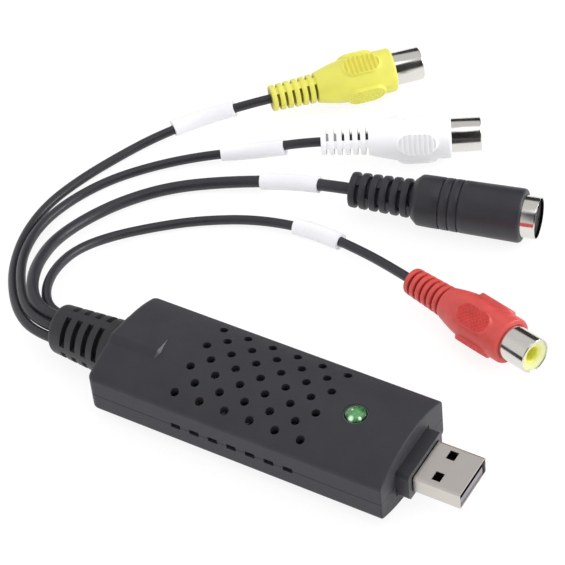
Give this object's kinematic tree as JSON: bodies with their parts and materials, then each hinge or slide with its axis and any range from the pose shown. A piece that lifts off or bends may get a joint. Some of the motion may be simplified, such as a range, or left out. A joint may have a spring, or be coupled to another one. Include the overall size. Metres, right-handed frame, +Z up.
{
  "type": "usb video capture adapter",
  "caption": "USB stick that turns analogue video and sound into a digital signal: vented black case, green snapshot button and a fan of cords with RCA and S-Video sockets.",
  "frame": {"origin": "on the surface that the case rests on, below the middle of the case with its plug and strain relief", "axes": "+X from the cable end to the USB plug, +Y to the side where the sockets lie, +Z up through the button"},
  "size_m": [0.1361, 0.1346, 0.0168],
  "materials": {
    "case_plastic": "fine matte moulded ABS, charcoal black",
    "collar_plastic": "smooth satin black moulding",
    "button_plastic": "translucent green, glossy, lit from below",
    "plug_steel": "bright nickel plated sheet",
    "plug_plastic": "white moulding",
    "contact_gold": "gold flashed spring contact",
    "relief_rubber": "satin black soft PVC",
    "cord_jacket": "satin black PVC jacket",
    "label_paper": "white coated paper sleeve",
    "yellow_vinyl": "yellow soft PVC moulding",
    "white_vinyl": "white soft PVC moulding",
    "red_vinyl": "red soft PVC moulding",
    "black_vinyl": "black soft PVC moulding",
    "nickel": "nickel plated turned brass",
    "socket_insulator": "pale yellow-green moulding",
    "socket_core": "black moulding",
    "board_laminate": "green solder mask on glass laminate",
    "chip_epoxy": "black moulded epoxy",
    "tin": "tinned metal",
    "can_metal": "drawn metal can",
    "ceramic_body": "fired ceramic chip",
    "led_resin": "clear resin",
    "switch_plastic": "black switch moulding"
  },
  "bodies": {
    "adapter": {"top_cover": "case_plastic", "bottom_cover": "case_plastic", "plug_collar": "collar_plastic", "usb_plug_shell": "plug_steel", "usb_plug_insulator": "plug_plastic", "usb_plug_contacts": "contact_gold", "circuit_board": "board_laminate", "video_decoder_chip": "chip_epoxy", "usb_bridge_chip": "chip_epoxy", "audio_converter_chip": "chip_epoxy", "chip_leads": "tin", "crystals": "can_metal", "electrolytic_capacitors": "can_metal", "ceramic_capacitors": "ceramic_body", "resistors": "ceramic_body", "voltage_regulator": "chip_epoxy", "switch_body": "switch_plastic", "button_led": "led_resin", "strain_relief": "relief_rubber", "wire_tails": "cord_jacket", "solder_joints": "tin", "svideo_cord": "cord_jacket", "svideo_label": "label_paper", "svideo_boot": "black_vinyl", "svideo_shell": "nickel", "svideo_core": "socket_core", "svideo_contacts": "tin", "yellow_cord": "cord_jacket", "yellow_label": "label_paper", "yellow_rca_boot": "yellow_vinyl", "yellow_rca_shell": "nickel", "yellow_rca_insulator": "socket_insulator", "yellow_rca_contact": "tin", "white_cord": "cord_jacket", "white_label": "label_paper", "white_rca_boot": "white_vinyl", "white_rca_shell": "nickel", "white_rca_insulator": "socket_insulator", "white_rca_contact": "tin", "red_cord": "cord_jacket", "red_label": "label_paper", "red_rca_boot": "red_vinyl", "red_rca_shell": "nickel", "red_rca_insulator": "socket_insulator", "red_rca_contact": "tin"},
    "snapshot_button": {"button_cap": "button_plastic", "switch_plunger": "switch_plastic"}
  },
  "joints": [
    {"name": "snapshot_press", "type": "slide", "parent": "adapter", "child": "snapshot_button", "axis": [0, 0, -1], "range_m": [0, 0.0004], "stiffness_N_per_m": 300}
  ]
}
